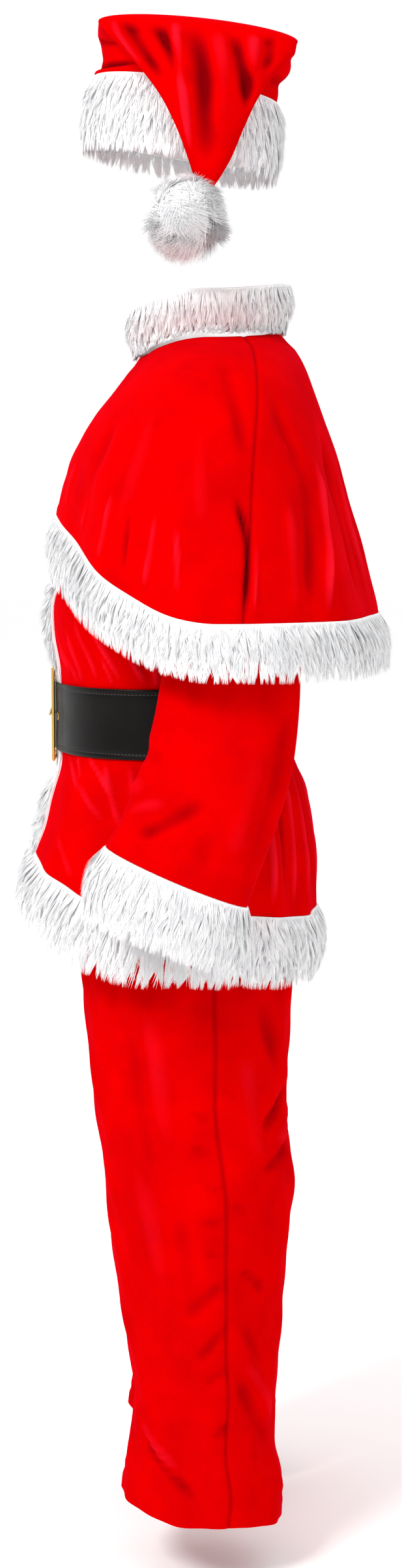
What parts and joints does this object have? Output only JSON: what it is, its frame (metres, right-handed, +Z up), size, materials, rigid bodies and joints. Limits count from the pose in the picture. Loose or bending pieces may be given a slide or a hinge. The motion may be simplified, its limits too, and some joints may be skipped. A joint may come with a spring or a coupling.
{
  "type": "santa suit",
  "caption": "Worn father christmas costume: plush-trimmed velvet hat with a folded cone, shoulder cape and belted coat over straight trousers, hollow and filled out as on a wearer.",
  "frame": {"origin": "the middle of the neck opening, on the line of the shoulders that carry the cape and coat", "axes": "+Z up, the suit faces -Y, and its own left side is +X"},
  "size_m": [0.7878, 0.4835, 1.8768],
  "materials": {
    "red_velvet": "short-pile velvet with a soft sheen",
    "white_plush": "long-pile plush, combed downwards",
    "black_leatherette": "fine-grained leatherette with stitched edges",
    "gilt_metal": "polished gilt metal"
  },
  "bodies": {
    "root": {"hat_crown": "red_velvet", "hat_band": "white_plush", "hat_pompom": "white_plush", "cape_collar": "white_plush", "cape_front_left": "red_velvet", "cape_front_right": "red_velvet", "cape_back": "red_velvet", "cape_hem_trim_left": "white_plush", "cape_hem_trim_back": "white_plush", "cape_hem_trim_right": "white_plush", "coat_front_left": "red_velvet", "coat_front_right": "red_velvet", "coat_back": "red_velvet", "coat_front_trim_left": "white_plush", "coat_front_trim_right": "white_plush", "coat_hem_trim_left": "white_plush", "coat_hem_trim_back": "white_plush", "coat_hem_trim_right": "white_plush", "sleeve_left": "red_velvet", "sleeve_right": "red_velvet", "cuff_trim_left": "white_plush", "cuff_trim_right": "white_plush", "belt_strap": "black_leatherette", "belt_eyelet": "gilt_metal", "buckle_frame": "gilt_metal", "buckle_prong": "gilt_metal", "trousers_front_left": "red_velvet", "trousers_front_right": "red_velvet", "trousers_back_left": "red_velvet", "trousers_back_right": "red_velvet", "trousers_waistband": "red_velvet"}
  },
  "joints": []
}
